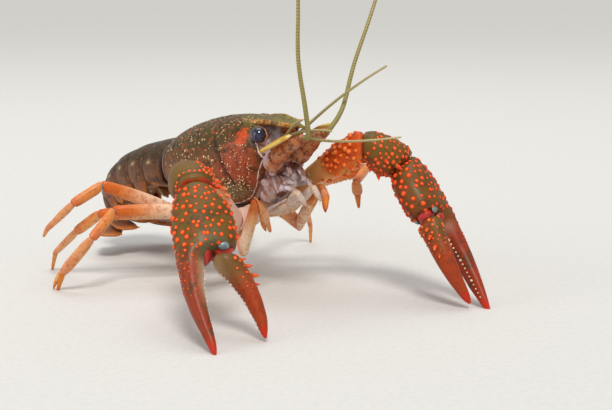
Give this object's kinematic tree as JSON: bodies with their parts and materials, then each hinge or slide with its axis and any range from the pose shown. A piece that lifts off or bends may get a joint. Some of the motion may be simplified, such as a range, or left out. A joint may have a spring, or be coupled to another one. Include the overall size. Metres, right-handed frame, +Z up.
{
  "type": "crayfish model",
  "caption": "Life-size red swamp crayfish model, standing on its claw tips and hind legs with the tail curled under.",
  "frame": {"origin": "centre of the bounding box's bottom face, on the floor that the claw tips and feet stand on", "axes": "+Z up; the animal faces -Y, its tail points to +Y, and its left side is towards +X"},
  "size_m": [0.0918, 0.1192, 0.1112],
  "materials": {
    "shell": "olive-brown, speckled, wet sheen",
    "shell_dark": "dark brown, satin",
    "face": "pink-brown, satin",
    "feeler": "tan, satin",
    "scale": "straw yellow, glossy",
    "eye": "blue-black, mirror-like",
    "arm": "orange-red with raised bumps, satin",
    "palm": "olive brown with red bumps, satin",
    "finger": "deep red, glossy",
    "leg": "pale orange, translucent look, satin",
    "under": "cream, satin"
  },
  "bodies": {
    "root": {"abdomen_1": "shell_dark", "abdomen_2": "shell_dark", "abdomen_3": "shell_dark", "abdomen_4": "shell_dark", "abdomen_5": "shell_dark", "abdomen_6": "shell_dark", "antenna_base_left": "face", "antenna_base_right": "face", "antenna_left": "feeler", "antenna_right": "feeler", "antennal_scale_left": "scale", "antennal_scale_right": "scale", "antennule_left": "feeler", "antennule_right": "feeler", "breastplate": "under", "carapace": "shell", "claw_arm_left": "arm", "claw_arm_right": "arm", "claw_forearm_left": "arm", "claw_forearm_right": "arm", "claw_palm_left": "palm", "claw_palm_right": "palm", "claw_thumb_left": "finger", "claw_thumb_right": "finger", "eye_left": "eye", "eye_right": "eye", "jaw_foot_left": "face", "jaw_foot_right": "face", "leg_2_left_lower": "leg", "leg_2_left_upper": "leg", "leg_2_right_lower": "leg", "leg_2_right_upper": "leg", "leg_3_left_lower": "leg", "leg_3_left_upper": "leg", "leg_3_right_lower": "leg", "leg_3_right_upper": "leg", "leg_4_left_lower": "leg", "leg_4_left_upper": "leg", "leg_4_right_lower": "leg", "leg_4_right_upper": "leg", "leg_5_left_lower": "leg", "leg_5_left_upper": "leg", "leg_5_right_lower": "leg", "leg_5_right_upper": "leg", "mouth_frame": "face", "tail_inner_left": "shell_dark", "tail_inner_right": "shell_dark", "tail_outer_left": "shell_dark", "tail_outer_right": "shell_dark", "telson": "shell_dark"}
  },
  "joints": []
}
